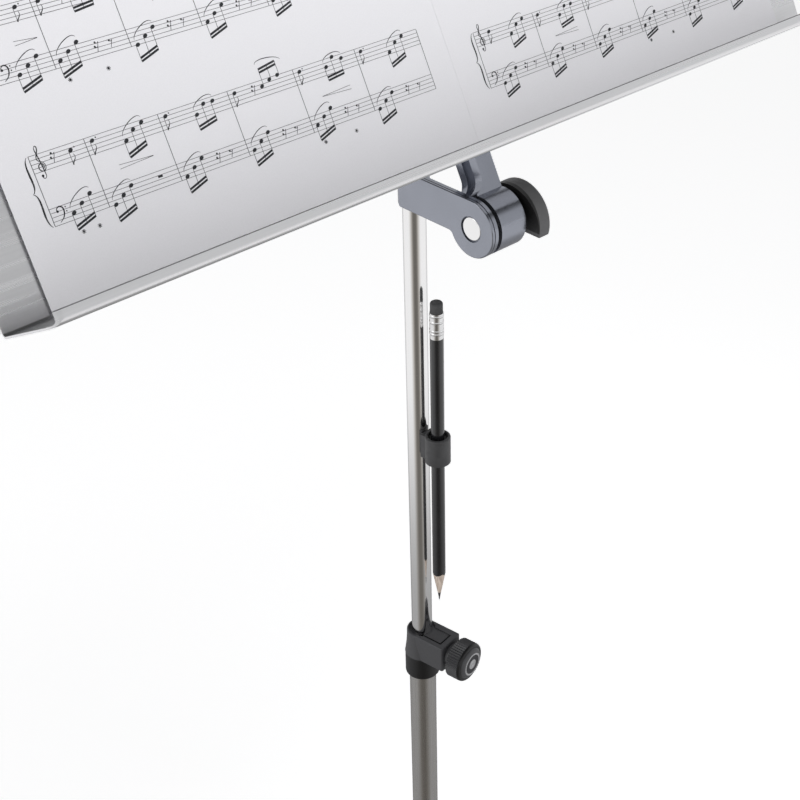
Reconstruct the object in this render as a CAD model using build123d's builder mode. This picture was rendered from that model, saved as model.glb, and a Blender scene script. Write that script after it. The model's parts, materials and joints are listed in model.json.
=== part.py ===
from build123d import *
from math import cos, radians, sin
import os

# Music stand: a two-stage column on a folding tripod, a friction-hinged desk that carries
# a booklet of sheet music, and a pencil in a magnetic holder on the upper tube.
# The origin is on the floor at the column's axis. +Z is up and the player stands at -Y.
# Every size is in millimetres and every angle in degrees.

os.makedirs("parts", exist_ok=True)

# ------------------------------------------------------------------ driving dimensions
running_gap = 0.05           # radial clearance of a shaft that turns or slides
face_gap = 0.1               # between two faces that rub
soft_edge = 0.8              # rounding of moulded rims

# Column
lower_radius = 8.0
lower_wall = 1.0
upper_radius = 6.0
upper_wall = 0.8
tube_bottom_z = 5.0
clamp_top_z = 600.0
upper_tube_bottom_z = 250.0

# Tilt hinge: the desk turns about this X axis in front of the column
pivot_y = -48.7
pivot_z = 883.1
eye_radius = 14.6
desk_tilt = 28.0             # desk leans back from upright

# Tripod linkage: strut length is half the leg, so the feet stay level as it folds
hinge_circle = 17.0          # radius of the leg and strut pivots about the column
strut_pivot_z = 13.0
leg_length = 320.0
leg_spread = 60.0            # leg angle from the column when open
leg_azimuths = (90.0, 210.0, 330.0)

# Derived places
strut_length = leg_length / 2
leg_pivot_z = strut_pivot_z + leg_length * cos(radians(leg_spread))
lower_bore = lower_radius - lower_wall
upper_bore = upper_radius - upper_wall


# ------------------------------------------------------------------ helpers
def write(builder, name):
    """Label a finished piece and write it to a STEP file of the same name."""
    builder.part.label = name
    export_step(builder.part, f"parts/{name}.step")


def level(height, turn=0.0):
    """A horizontal plane at a height, turned about the column."""
    return Plane.XY.offset(height).rotated((0, 0, turn))


def radial(azimuth):
    """The upright plane through the column at an azimuth: x runs outward, y runs up."""
    a = radians(azimuth)
    return Plane(origin=(0, 0, 0), x_dir=(cos(a), sin(a), 0), z_dir=(sin(a), -cos(a), 0))


def along_leg(azimuth, distance):
    """A plane square to an open leg, at a distance from its pivot: y runs towards the leg's top side."""
    a = radians(azimuth)
    outward = sin(radians(leg_spread))
    down = cos(radians(leg_spread))
    radius = hinge_circle + distance * outward
    origin = (radius * cos(a), radius * sin(a), leg_pivot_z - distance * down)
    return Plane(
        origin=origin,
        x_dir=(sin(a), -cos(a), 0),
        z_dir=(outward * cos(a), outward * sin(a), -down),
    )


def across(x):
    """An upright plane square to the tilt axis, centred on it: x runs to the rear, y runs up."""
    return Plane(origin=(x, pivot_y, pivot_z), x_dir=(0, 1, 0), z_dir=(1, 0, 0))


desk_normal = (0, -cos(radians(desk_tilt)), sin(radians(desk_tilt)))
# x runs along the tilt axis and y up the desk; offsets run towards the player
desk_plane = Plane(origin=(0, pivot_y, pivot_z), x_dir=(1, 0, 0), z_dir=desk_normal)
# The same frame seen square to the tilt axis: x runs behind the desk and y up it
desk_side = Plane(
    origin=(0, pivot_y, pivot_z),
    x_dir=(0, cos(radians(desk_tilt)), -sin(radians(desk_tilt))),
    z_dir=(1, 0, 0),
)

# ------------------------------------------------------------------ lower tube
clamp_step_z = clamp_top_z - 17
with BuildPart() as lower_tube:
    with BuildSketch(level(tube_bottom_z)):
        Circle(lower_radius)
        Circle(lower_bore, mode=Mode.SUBTRACT)
    extrude(amount=clamp_step_z - tube_bottom_z)
write(lower_tube, "lower_tube")

plug_flange = 2.0
plug_depth = 12.0
with BuildPart() as tube_plug:
    with BuildSketch(level(tube_bottom_z - plug_flange)):
        Circle(lower_radius)
    extrude(amount=plug_flange)
    with BuildSketch(level(tube_bottom_z)):
        Circle(lower_bore)
    extrude(amount=plug_depth)
    fillet(tube_plug.edges().sort_by(Axis.Z)[0], soft_edge)
write(tube_plug, "tube_plug")

# ------------------------------------------------------------------ strut hub on the tube's foot
hub_radius = 12.5
hub_half_height = 7.0
hub_rounding = 1.2
lug_radius = 6.0
lug_half_width = 4.0
pin_radius = 2.0
bar_thickness = 2.0
bar_inner = lug_half_width + 0.3          # struts straddle the lugs and the legs
pin_head_radius = 3.6
pin_head = 1.2

with BuildPart() as strut_hub:
    with BuildSketch(level(strut_pivot_z - hub_half_height)):
        Circle(hub_radius)
    extrude(amount=2 * hub_half_height)
    fillet(strut_hub.edges().filter_by(GeomType.CIRCLE), hub_rounding)
    for azimuth in leg_azimuths:
        with BuildSketch(radial(azimuth)):
            with Locations((hinge_circle, strut_pivot_z)):
                Circle(lug_radius)
            with Locations((hinge_circle / 2, strut_pivot_z)):
                Rectangle(hinge_circle, 2 * lug_radius)
        extrude(amount=lug_half_width, both=True)
        with BuildSketch(radial(azimuth)):
            with Locations((hinge_circle, strut_pivot_z)):
                Circle(pin_radius)
        extrude(amount=lug_half_width, both=True, mode=Mode.SUBTRACT)
    with BuildSketch(level(0)):
        Circle(lower_radius)
    extrude(amount=2 * strut_pivot_z, mode=Mode.SUBTRACT)
write(strut_hub, "strut_hub")

strut_pin_half = bar_inner + bar_thickness
with BuildPart() as strut_pins:
    for azimuth in leg_azimuths:
        pin_plane = radial(azimuth)
        with BuildSketch(pin_plane):
            with Locations((hinge_circle, strut_pivot_z)):
                Circle(pin_radius)
        extrude(amount=strut_pin_half + face_gap, both=True)
        for side in (1, -1):
            with BuildSketch(pin_plane.offset(side * (strut_pin_half + face_gap))):
                with Locations((hinge_circle, strut_pivot_z)):
                    Circle(pin_head_radius)
            extrude(amount=side * pin_head)
write(strut_pins, "strut_pins")

# ------------------------------------------------------------------ runner that carries the legs
runner_below = 8.0
runner_above = 26.0
ear_inner = 2.8
ear_outer = 5.8
tongue_half_width = 2.5
ear_radius = 6.5
tongue_clearance = 0.6       # round the end of a leg inside its ears
runner_rounding = 1.5
boss_radius = 6.5
boss_floor = 4.0             # what is left of the boss in front of the pad's bore
screw_rise = 17.0            # locking screw above the leg pivots, facing the player
runner_screw_z = leg_pivot_z + screw_rise
screw_radius = 2.5
pad_radius = 3.4
boss_reach = 18.0

with BuildPart() as runner:
    with BuildSketch(level(leg_pivot_z - runner_below)):
        Circle(hub_radius)
    extrude(amount=runner_below + runner_above)
    fillet(runner.edges().filter_by(GeomType.CIRCLE), runner_rounding)
    for azimuth in leg_azimuths:
        with BuildSketch(radial(azimuth)):
            with Locations((hinge_circle, leg_pivot_z)):
                Circle(ear_radius)
            with Locations((hinge_circle / 2, leg_pivot_z)):
                Rectangle(hinge_circle, 2 * ear_radius)
        extrude(amount=ear_outer, both=True)
        # The slot between the ears is open outwards and downwards, where the leg swings
        slot_radius = lug_radius + tongue_clearance
        slot_top = leg_pivot_z + ear_radius
        slot_bottom = leg_pivot_z - 2 * ear_radius
        with BuildSketch(radial(azimuth)):
            with Locations((hinge_circle, leg_pivot_z)):
                Circle(slot_radius)
            with Locations((hinge_circle + slot_radius, (slot_top + slot_bottom) / 2)):
                Rectangle(2 * slot_radius, slot_top - slot_bottom)
            with Locations((hinge_circle, (leg_pivot_z + slot_bottom) / 2)):
                Rectangle(2 * slot_radius, leg_pivot_z - slot_bottom)
        extrude(amount=ear_inner, both=True, mode=Mode.SUBTRACT)
        with BuildSketch(radial(azimuth)):
            with Locations((hinge_circle, leg_pivot_z)):
                Circle(pin_radius)
        extrude(amount=ear_outer, both=True, mode=Mode.SUBTRACT)
    with BuildSketch(Plane.XZ):
        with Locations((0, runner_screw_z)):
            Circle(boss_radius)
    extrude(amount=boss_reach)
    with BuildSketch(level(leg_pivot_z - runner_below)):
        Circle(lower_radius + running_gap)
    extrude(amount=runner_below + runner_above, mode=Mode.SUBTRACT)
    with BuildSketch(Plane.XZ):
        with Locations((0, runner_screw_z)):
            Circle(pad_radius + running_gap)
    extrude(amount=boss_reach - boss_floor, mode=Mode.SUBTRACT)
    with BuildSketch(Plane.XZ):
        with Locations((0, runner_screw_z)):
            Circle(screw_radius + running_gap)
    extrude(amount=boss_reach, mode=Mode.SUBTRACT)
write(runner, "runner")

with BuildPart() as leg_pins:
    for azimuth in leg_azimuths:
        pin_plane = radial(azimuth)
        with BuildSketch(pin_plane):
            with Locations((hinge_circle, leg_pivot_z)):
                Circle(pin_radius)
        extrude(amount=ear_outer, both=True)
        for side in (1, -1):
            with BuildSketch(pin_plane.offset(side * ear_outer)):
                with Locations((hinge_circle, leg_pivot_z)):
                    Circle(pin_head_radius)
            extrude(amount=side * pin_head)
write(leg_pins, "leg_pins")

# A nylon pad between the locking screw and the tube, then the screw and its star knob
pad_thickness = 3.0
with BuildPart() as runner_pad:
    with BuildSketch(Plane.XZ):
        with Locations((0, runner_screw_z)):
            Circle(pad_radius)
    extrude(amount=lower_radius + running_gap + pad_thickness)
    with BuildSketch(level(leg_pivot_z)):
        Circle(lower_radius + running_gap)
    extrude(amount=2 * runner_above, mode=Mode.SUBTRACT)
write(runner_pad, "runner_pad")

screw_start = lower_radius + running_gap + pad_thickness
knob_back = boss_reach + 1.5
knob_depth = 13.0
knob_neck = 3.0
knob_neck_radius = 6.0
with BuildPart() as runner_screw:
    with BuildSketch(Plane.XZ.offset(screw_start)):
        with Locations((0, runner_screw_z)):
            Circle(screw_radius)
    extrude(amount=knob_back + knob_depth - knob_neck - screw_start)
write(runner_screw, "runner_screw")

star_lobes = 5
star_radius = 12.0
star_hollow = 4.0
star_hollow_circle = 13.5
with BuildPart() as runner_knob:
    with BuildSketch(Plane.XZ.offset(knob_back + knob_neck)):
        with Locations((0, runner_screw_z)):
            Circle(star_radius)
            with PolarLocations(star_hollow_circle, star_lobes):
                Circle(star_hollow, mode=Mode.SUBTRACT)
    extrude(amount=knob_depth - knob_neck)
    fillet(runner_knob.edges().filter_by(GeomType.LINE), hub_rounding)
    fillet(runner_knob.faces().sort_by(Axis.Y)[0].edges(), runner_rounding)
    with BuildSketch(Plane.XZ.offset(knob_back)):
        with Locations((0, runner_screw_z)):
            Circle(knob_neck_radius)
    extrude(amount=knob_neck + 1)
    with BuildSketch(Plane.XZ.offset(knob_back)):
        with Locations((0, runner_screw_z)):
            Circle(screw_radius)
    extrude(amount=knob_depth - knob_neck, mode=Mode.SUBTRACT)
write(runner_knob, "runner_knob")

# ------------------------------------------------------------------ legs, feet and struts
leg_width = 8.0
leg_depth = 12.0
leg_corner = 3.4
leg_wall = 1.1
crimp_start = 10.0           # the tube is crimped to a tongue between these two distances
crimp_end = 26.0
leg_tube_end = leg_length - 2
foot_start = leg_length - 26
foot_end = leg_length + 20
foot_radius = 8.5
foot_rounding = 1.5
bar_width = 10.0             # of each strut bar
tongue_corner = 0.6

for number, azimuth in enumerate(leg_azimuths, 1):
    with BuildPart() as leg:
        with BuildSketch(along_leg(azimuth, 0)):
            Rectangle(2 * tongue_half_width, leg_depth)
        extrude(amount=crimp_start)
        with BuildSketch(radial(azimuth)):
            with Locations((hinge_circle, leg_pivot_z)):
                Circle(leg_depth / 2)
        extrude(amount=tongue_half_width, both=True)
        with BuildSketch(along_leg(azimuth, crimp_start)):
            RectangleRounded(2 * tongue_half_width, leg_depth, tongue_corner)
        with BuildSketch(along_leg(azimuth, crimp_end)):
            RectangleRounded(leg_width, leg_depth, leg_corner)
        loft()
        with BuildSketch(along_leg(azimuth, crimp_end)):
            RectangleRounded(leg_width, leg_depth, leg_corner)
            RectangleRounded(
                leg_width - 2 * leg_wall,
                leg_depth - 2 * leg_wall,
                leg_corner - leg_wall,
                mode=Mode.SUBTRACT,
            )
        extrude(amount=leg_tube_end - crimp_end)
        with BuildSketch(radial(azimuth)):
            with Locations((hinge_circle, leg_pivot_z)):
                Circle(pin_radius + running_gap)
        extrude(amount=tongue_half_width, both=True, mode=Mode.SUBTRACT)
    write(leg, f"leg_{number}")

    with BuildPart() as foot:
        with BuildSketch(along_leg(azimuth, foot_start)):
            Circle(foot_radius)
        extrude(amount=foot_end - foot_start)
        fillet(foot.edges().filter_by(GeomType.CIRCLE).sort_by(Axis.Z)[-1], foot_rounding)
        with BuildSketch(along_leg(azimuth, foot_start)):
            RectangleRounded(leg_width, leg_depth, leg_corner)
        extrude(amount=leg_tube_end - foot_start, mode=Mode.SUBTRACT)
        split(bisect_by=Plane.XY, keep=Keep.TOP)
    write(foot, f"foot_{number}")

    joint_radius = hinge_circle + strut_length * sin(radians(leg_spread))
    joint_z = strut_pivot_z + strut_length * cos(radians(leg_spread))
    bar_middle = ((hinge_circle + joint_radius) / 2, (strut_pivot_z + joint_z) / 2)
    bar_offsets = (bar_inner, -bar_inner - bar_thickness)
    with BuildPart() as strut:
        for offset_from_leg in bar_offsets:
            with BuildSketch(radial(azimuth).offset(offset_from_leg)):
                with Locations(bar_middle):
                    SlotCenterToCenter(strut_length, bar_width, rotation=90 - leg_spread)
                with Locations((hinge_circle, strut_pivot_z)):
                    Circle(pin_radius + running_gap, mode=Mode.SUBTRACT)
                with Locations((joint_radius, joint_z)):
                    Circle(pin_radius, mode=Mode.SUBTRACT)
            extrude(amount=bar_thickness)
    write(strut, f"strut_{number}")

    with BuildPart() as strut_rivets:
        for side in (1, -1):
            with BuildSketch(radial(azimuth).offset(side * bar_inner)):
                with Locations((joint_radius, joint_z)):
                    Circle(pin_radius)
            extrude(amount=side * bar_thickness)
            with BuildSketch(radial(azimuth).offset(side * (bar_inner + bar_thickness))):
                with Locations((joint_radius, joint_z)):
                    Circle(pin_head_radius)
            extrude(amount=side * pin_head)
    write(strut_rivets, f"strut_rivets_{number}")

# ------------------------------------------------------------------ column clamp
clamp_turn = 10.0            # the clamp's lug points a little to the player's right
collar_bottom_z = clamp_top_z - 33
lug_bottom_z = clamp_top_z - 17.2
clamp_axis_z = clamp_top_z - 9.2
collar_radius = 10.3
flare_base_radius = 10.45    # the body flares towards the collar
flare_waist = (9.4, clamp_top_z - 9)
neck_radius = 9.05
rim_bore = 7.9               # a shallow recess inside the raised rim
rim_depth = 1.4
lug_half = 8.9
lug_reach = 21.4
block_half = 4.4
block_reach = 16.8
slot_front = 5.8             # the slot is wider than the block on the player's left
block_bottom_z = clamp_top_z - 15
block_travel = 1.0
clamp_screw_radius = 3.0
block_gap = 0.15             # each side of the brake block in its slot
lug_corner = 1.2
collar_rounding = 1.2

clamp_axis = radial(clamp_turn)        # offsets run out along the lug
with BuildPart() as lug:
    with BuildSketch(level(lug_bottom_z, clamp_turn)):
        with Locations((0, -lug_reach / 2)):
            Rectangle(2 * lug_half, lug_reach)
    extrude(amount=clamp_top_z - lug_bottom_z)
    fillet(lug.edges().filter_by(Axis.Z).sort_by(Axis.Y)[0:2], lug_corner)
    fillet(lug.faces().sort_by(Axis.Z)[-1].edges(), soft_edge)
with BuildPart() as clamp_housing:
    with BuildSketch(level(collar_bottom_z, clamp_turn)):
        Circle(collar_radius)
    extrude(amount=clamp_step_z - collar_bottom_z)
    fillet(clamp_housing.faces().sort_by(Axis.Z)[0].edges(), collar_rounding)
    with BuildSketch(Plane.XZ) as flare:
        with BuildLine():
            flare_side = ThreePointArc(
                (flare_base_radius, lug_bottom_z), flare_waist, (neck_radius, clamp_top_z)
            )
            Polyline(flare_side @ 1, (0, clamp_top_z), (0, lug_bottom_z), flare_side @ 0)
        make_face()
        fillet(flare.vertices().group_by(Axis.Y)[-1].sort_by(Axis.X)[-1], soft_edge)
    revolve(axis=Axis.Z)
    add(lug.part)
    with BuildSketch(level(clamp_top_z - rim_depth)):
        Circle(rim_bore)
    extrude(amount=rim_depth, mode=Mode.SUBTRACT)
    with BuildSketch(level(collar_bottom_z)):
        Circle(lower_radius)
    extrude(amount=clamp_step_z - collar_bottom_z, mode=Mode.SUBTRACT)
    with BuildSketch(level(clamp_step_z)):
        Circle(upper_radius + running_gap)
    extrude(amount=clamp_top_z - clamp_step_z, mode=Mode.SUBTRACT)
    with BuildSketch(level(block_bottom_z, clamp_turn)):
        slot_reach = block_reach + block_travel + 2 * block_gap
        slot_back = block_half + block_gap
        with Locations(((slot_back - slot_front) / 2, -slot_reach / 2)):
            Rectangle(slot_front + slot_back, slot_reach)
    extrude(amount=clamp_top_z - block_bottom_z, mode=Mode.SUBTRACT)
    with BuildSketch(clamp_axis):
        with Locations((0, clamp_axis_z)):
            Circle(clamp_screw_radius + running_gap)
    extrude(amount=lug_reach + 1, mode=Mode.SUBTRACT)
write(clamp_housing, "clamp_housing")

block_near = 4.2
block_sunk = 0.5             # the block's top lies this far below the lug's
with BuildPart() as brake_block:
    with BuildSketch(level(block_bottom_z + 2 * block_gap, clamp_turn)):
        with Locations((0, -(block_near + block_reach) / 2)):
            Rectangle(2 * block_half, block_reach - block_near)
        Circle(upper_radius + running_gap, mode=Mode.SUBTRACT)
    extrude(amount=clamp_top_z - block_sunk - block_bottom_z - 2 * block_gap)
write(brake_block, "brake_block")

# Knurled knob with a smooth cap and a plain metal disc, on its screw
knob_near = 25.8
knob_groove = 33.6
knob_cap_near = 34.1
knob_far = 36.8
knob_radius = 12.05
knurls = 48
knurl_depth = 0.6
knob_groove_depth = 1.2
clamp_neck_radius = 7.0
shoulder = ((knob_cap_near, 11.9), (34.9, 11.4), (35.3, 9.7))
dome_waist = (36.3, 8.8)

with BuildPart() as clamp_screw:
    with BuildSketch(clamp_axis.offset(block_reach)):
        with Locations((0, clamp_axis_z)):
            Circle(clamp_screw_radius)
    extrude(amount=knob_groove - block_reach)
write(clamp_screw, "clamp_screw")

with BuildPart() as clamp_knob:
    with BuildSketch(clamp_axis.offset(lug_reach + 2 * block_gap)):
        with Locations((0, clamp_axis_z)):
            Circle(clamp_neck_radius)
    extrude(amount=knob_near - lug_reach)
    knurl_angles = [360 / (2 * knurls) * step for step in range(2 * knurls)]
    knurl_radii = [knob_radius - knurl_depth * (step % 2) for step in range(2 * knurls)]
    rim = [
        (radius * cos(radians(angle)), clamp_axis_z + radius * sin(radians(angle)))
        for radius, angle in zip(knurl_radii, knurl_angles)
    ]
    with BuildSketch(clamp_axis.offset(knob_near)):
        with BuildLine():
            Polyline(rim, close=True)
        make_face()
    extrude(amount=knob_groove - knob_near)
    with BuildSketch(clamp_axis.offset(knob_groove)):
        with Locations((0, clamp_axis_z)):
            Circle(knob_radius - knob_groove_depth)
    extrude(amount=knob_cap_near - knob_groove)
    with BuildSketch(clamp_axis.offset(lug_reach)):
        with Locations((0, clamp_axis_z)):
            Circle(clamp_screw_radius)
    extrude(amount=knob_groove - lug_reach, mode=Mode.SUBTRACT)
write(clamp_knob, "clamp_knob")

badge_radius = 7.2
badge_recess = 0.4
badge_proud = 0.2
lug_plane = level(clamp_axis_z, clamp_turn)
cap_plane = Plane(origin=lug_plane.origin, x_dir=-lug_plane.y_dir, z_dir=lug_plane.x_dir)
with BuildPart() as clamp_knob_cap:
    with BuildSketch(cap_plane):
        with BuildLine():
            rounding = ThreePointArc(*shoulder)
            dome = ThreePointArc(rounding @ 1, dome_waist, (knob_far, badge_radius + 0.3))
            Polyline(dome @ 1, (knob_far, 0), (knob_cap_near, 0), rounding @ 0)
        make_face()
    revolve(axis=Axis(cap_plane.origin, cap_plane.x_dir))
    with BuildSketch(clamp_axis.offset(knob_far - badge_recess)):
        with Locations((0, clamp_axis_z)):
            Circle(badge_radius)
    extrude(amount=badge_recess, mode=Mode.SUBTRACT)
write(clamp_knob_cap, "clamp_knob_cap")

with BuildPart() as knob_badge:
    with BuildSketch(clamp_axis.offset(knob_far - badge_recess)):
        with Locations((0, clamp_axis_z)):
            Circle(badge_radius)
    extrude(amount=badge_recess + badge_proud)
write(knob_badge, "knob_badge")

# ------------------------------------------------------------------ upper tube and its guide bush
bracket_bottom_z = pivot_z - 5.5
bracket_top_z = pivot_z + eye_radius
upper_tube_top_z = bracket_top_z - 4
bush_collar = 14.0
bush_spigot = 18.0

with BuildPart() as guide_bush:
    with BuildSketch(level(upper_tube_bottom_z - bush_collar)):
        Circle(lower_bore - running_gap)
    extrude(amount=bush_collar - face_gap)
    with BuildSketch(level(upper_tube_bottom_z - face_gap)):
        Circle(upper_bore - running_gap)
    extrude(amount=bush_spigot)
write(guide_bush, "guide_bush")

with BuildPart() as upper_tube:
    with BuildSketch(level(upper_tube_bottom_z)):
        Circle(upper_radius)
        Circle(upper_bore, mode=Mode.SUBTRACT)
    extrude(amount=upper_tube_top_z - upper_tube_bottom_z)
write(upper_tube, "upper_tube")

# ------------------------------------------------------------------ tilt bracket
plate_left = -8.3
plate_right = -4.3
skin = 1.5                   # face layer in front of the groove round the plate's rim
groove_width = 0.5
groove_depth = 0.8
head_recess = 1.4
head_radius = 6.0
bolt_radius = 3.0
socket_radius = 8.0
plate_rear = 2.5             # the plate runs just past the column's axis
throat_radius = 3.0
plate_corner = 1.5
plate_rounding = 0.6
head_clearance = 0.6
tube_seat = 0.02             # radial clearance of the socket on the tube
grub_radius = 2.0
grub_sunk = 0.5
grub_z = (bracket_bottom_z + bracket_top_z) / 2


def plate_outline(sketch, inset):
    """Draw the bracket plate square to the tilt axis: an arm that ends in a round eye."""
    height = bracket_top_z - bracket_bottom_z
    middle = (bracket_top_z + bracket_bottom_z) / 2 - pivot_z
    length = plate_rear - pivot_y - inset
    with Locations((length / 2, middle)):
        Rectangle(length, height - 2 * inset)
    fillet(sketch.vertices().group_by(Axis.X)[-1], plate_corner)
    Circle(eye_radius - inset)
    throat = sketch.vertices().group_by(Axis.Y)[0].sort_by(Axis.X)[0]
    fillet(throat, throat_radius)


with BuildPart() as tilt_bracket:
    with BuildSketch(level(bracket_bottom_z)):
        Circle(socket_radius)
    extrude(amount=bracket_top_z - bracket_bottom_z)
    fillet(tilt_bracket.edges().filter_by(GeomType.CIRCLE), 1.0)
    with BuildSketch(across(plate_left)) as face_layer:
        plate_outline(face_layer, 0)
    extrude(amount=skin)
    with BuildSketch(across(plate_left + skin)) as groove_layer:
        plate_outline(groove_layer, groove_depth)
    extrude(amount=groove_width)
    with BuildSketch(across(plate_left + skin + groove_width)) as back_layer:
        plate_outline(back_layer, 0)
    extrude(amount=plate_right - plate_left - skin - groove_width)
    fillet(tilt_bracket.faces().sort_by(Axis.X)[0].edges(), plate_rounding)
    with BuildSketch(level(bracket_bottom_z)):
        Circle(upper_radius + tube_seat)
    extrude(amount=upper_tube_top_z - bracket_bottom_z, mode=Mode.SUBTRACT)
    with BuildSketch(across(plate_left)):
        Circle(head_radius + head_clearance)
    extrude(amount=head_recess, mode=Mode.SUBTRACT)
    with BuildSketch(across(plate_left)):
        Circle(bolt_radius)
    extrude(amount=plate_right - plate_left, mode=Mode.SUBTRACT)
    with BuildSketch(Plane.XZ.offset(-socket_radius)):
        with Locations((0, grub_z)):
            Circle(grub_radius)
    extrude(amount=socket_radius, mode=Mode.SUBTRACT)
write(tilt_bracket, "tilt_bracket")

# Grub screw that holds the bracket on the tube, from the rear
with BuildPart() as bracket_screw:
    with BuildSketch(Plane.XZ.offset(-socket_radius + grub_sunk)):
        with Locations((0, grub_z)):
            Circle(grub_radius)
            RegularPolygon(grub_radius / 2, 6, mode=Mode.SUBTRACT)
    extrude(amount=socket_radius - grub_sunk - upper_radius - running_gap)
write(bracket_screw, "bracket_screw")

# ------------------------------------------------------------------ pivot bolt
barrel_left = -2.0
barrel_right = 14.0
knob_inner = 15.7
knob_outer = 26.0
insert_end = 24.0
head_left = plate_left + 0.4
head_rounding = 0.6
bolt_end = insert_end - 0.5

with BuildPart() as pivot_bolt:
    with BuildSketch(across(head_left)):
        Circle(head_radius)
    extrude(amount=plate_left + head_recess - head_left)
    fillet(pivot_bolt.edges().sort_by(Axis.X)[0], head_rounding)
    with BuildSketch(across(plate_left + head_recess)):
        Circle(bolt_radius)
    extrude(amount=bolt_end - plate_left - head_recess)
write(pivot_bolt, "pivot_bolt")

# ------------------------------------------------------------------ desk arm
arm_left = 4.0
arm_right = barrel_right
arm_front = 5.1              # distances from the tilt axis, towards the player
groove_front = 0.2
groove_back = -5.8
arm_back = -10.2
arm_top = 104.0
web_left = 7.2
flare_radius = 8.0
flare_centre = (arm_left - flare_radius, 22.4)
flare_sweep = 75.5           # the flare ends at the barrel's left end
mount_thickness = 2.9
pad_bottom = 46.0
desk_centre = 5.0            # the desk and its mounting pad are centred here
stud_spacing_x = 40.0
stud_spacing_up = 40.0
pad_width = 58.0
pad_corner = 6.0
stud_hole_radius = 2.7
rib_end = arm_top - 6.0      # the groove between the arm's two ribs stops here
taper_start = 56.0           # the arm thins towards its top from here
washer_radius = 12.6
pad_middle = (desk_centre, (pad_bottom + arm_top) / 2)

with BuildPart() as desk_arm:
    with BuildSketch(desk_plane.offset(arm_back)):
        with BuildLine():
            flare = CenterArc(flare_centre, flare_radius, 0, -flare_sweep)
            Polyline(
                flare @ 1,
                (barrel_left, 0),
                (arm_right, 0),
                (arm_right, arm_top),
                (arm_left, arm_top),
                flare @ 0,
            )
        make_face()
    extrude(amount=arm_front - arm_back)
    groove_radius = flare_radius + web_left - arm_left
    with BuildSketch(desk_plane.offset(groove_back)):
        with BuildLine():
            inner = CenterArc(flare_centre, groove_radius, 0, -85)
            open_side = barrel_left - flare_radius
            Polyline(
                inner @ 1,
                (open_side, (inner @ 1).Y),
                (open_side, rib_end),
                (web_left, rib_end),
                inner @ 0,
            )
        make_face()
    extrude(amount=groove_front - groove_back, mode=Mode.SUBTRACT)
    with BuildSketch(desk_side):
        with BuildLine():
            Polyline(
                (-arm_back + 1, taper_start),
                (-arm_back + 1, arm_top + 1),
                (-arm_front + 3, arm_top + 1),
                close=True,
            )
        make_face()
    extrude(amount=arm_right + 1, mode=Mode.SUBTRACT)
    with BuildSketch(desk_plane.offset(arm_front)):
        with Locations(pad_middle):
            RectangleRounded(pad_width, arm_top - pad_bottom, pad_corner)
            with GridLocations(stud_spacing_x, stud_spacing_up, 2, 2):
                Circle(stud_hole_radius, mode=Mode.SUBTRACT)
    extrude(amount=mount_thickness)
    with BuildSketch(across(barrel_left)):
        Circle(eye_radius)
    extrude(amount=barrel_right - barrel_left)
    with BuildSketch(across(barrel_left)):
        Circle(bolt_radius + running_gap)
    extrude(amount=barrel_right - barrel_left, mode=Mode.SUBTRACT)
write(desk_arm, "desk_arm")

with BuildPart() as friction_washer:
    with BuildSketch(across(plate_right + face_gap)):
        Circle(washer_radius)
        Circle(bolt_radius + running_gap, mode=Mode.SUBTRACT)
    extrude(amount=barrel_left - plate_right - face_gap)
write(friction_washer, "friction_washer")

# ------------------------------------------------------------------ desk
desk_back = arm_front + mount_thickness
sheet = 1.0
desk_face = desk_back + sheet
desk_width = 500.0
shelf_bottom = 34.0          # up the desk from the tilt axis
desk_top = shelf_bottom + 340.0
shelf_depth = 45.0
lip_height = 5.8
outer_bend = 2.4
lip_front = desk_face + shelf_depth
desk_left = desk_centre - desk_width / 2
hem = 5.0
corner = 16.0
shelf_corner = 6.0
below_shelf = 60.0           # the cutting outlines run this far past the shelf
# Seen along the sheet from below: x runs along the tilt axis and y behind the desk
desk_plan = Plane(
    origin=(0, pivot_y, pivot_z),
    x_dir=(1, 0, 0),
    z_dir=(0, sin(radians(desk_tilt)), cos(radians(desk_tilt))),
)

with BuildPart() as desk:
    with BuildSketch(desk_side.offset(desk_left)) as desk_profile:
        with BuildLine():
            Polyline(
                (-desk_back, desk_top),
                (-desk_back, shelf_bottom),
                (-lip_front, shelf_bottom),
                (-lip_front, shelf_bottom + lip_height),
                (-lip_front + sheet, shelf_bottom + lip_height),
                (-lip_front + sheet, shelf_bottom + sheet),
                (-desk_face, shelf_bottom + sheet),
                (-desk_face, desk_top),
                close=True,
            )
        make_face()
        corners = desk_profile.vertices()
        fillet(corners.filter_by(lambda v: abs(v.Y - shelf_bottom) < 0.1), outer_bend)
        corners = desk_profile.vertices()
        inner_level = shelf_bottom + sheet
        fillet(corners.filter_by(lambda v: abs(v.Y - inner_level) < 0.1), outer_bend - sheet)
    extrude(amount=desk_width)
    # Round the top corners of the sheet and the front corners of the shelf
    outline_height = desk_top - shelf_bottom + below_shelf
    outline_middle = (desk_centre, desk_top - outline_height / 2)
    with BuildSketch(desk_plane.offset(desk_back)):
        with Locations(outline_middle):
            RectangleRounded(desk_width, outline_height, corner)
    extrude(amount=lip_front - desk_back, mode=Mode.INTERSECT)
    with BuildSketch(desk_plan.offset(shelf_bottom)):
        with Locations((desk_centre, below_shelf / 2 - lip_front)):
            RectangleRounded(desk_width, below_shelf, shelf_corner)
    extrude(amount=desk_top - shelf_bottom, mode=Mode.INTERSECT)
    # The sides and the top are turned back as a stiffening hem
    with BuildSketch(desk_plane.offset(desk_back - hem)):
        with Locations(outline_middle):
            RectangleRounded(desk_width, outline_height, corner)
            RectangleRounded(
                desk_width - 2 * sheet,
                outline_height - 2 * sheet,
                corner - sheet,
                mode=Mode.SUBTRACT,
            )
        with Locations((desk_centre, shelf_bottom - below_shelf)):
            Rectangle(desk_width, 2 * (below_shelf + outer_bend), mode=Mode.SUBTRACT)
    extrude(amount=hem)
write(desk, "desk")

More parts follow.
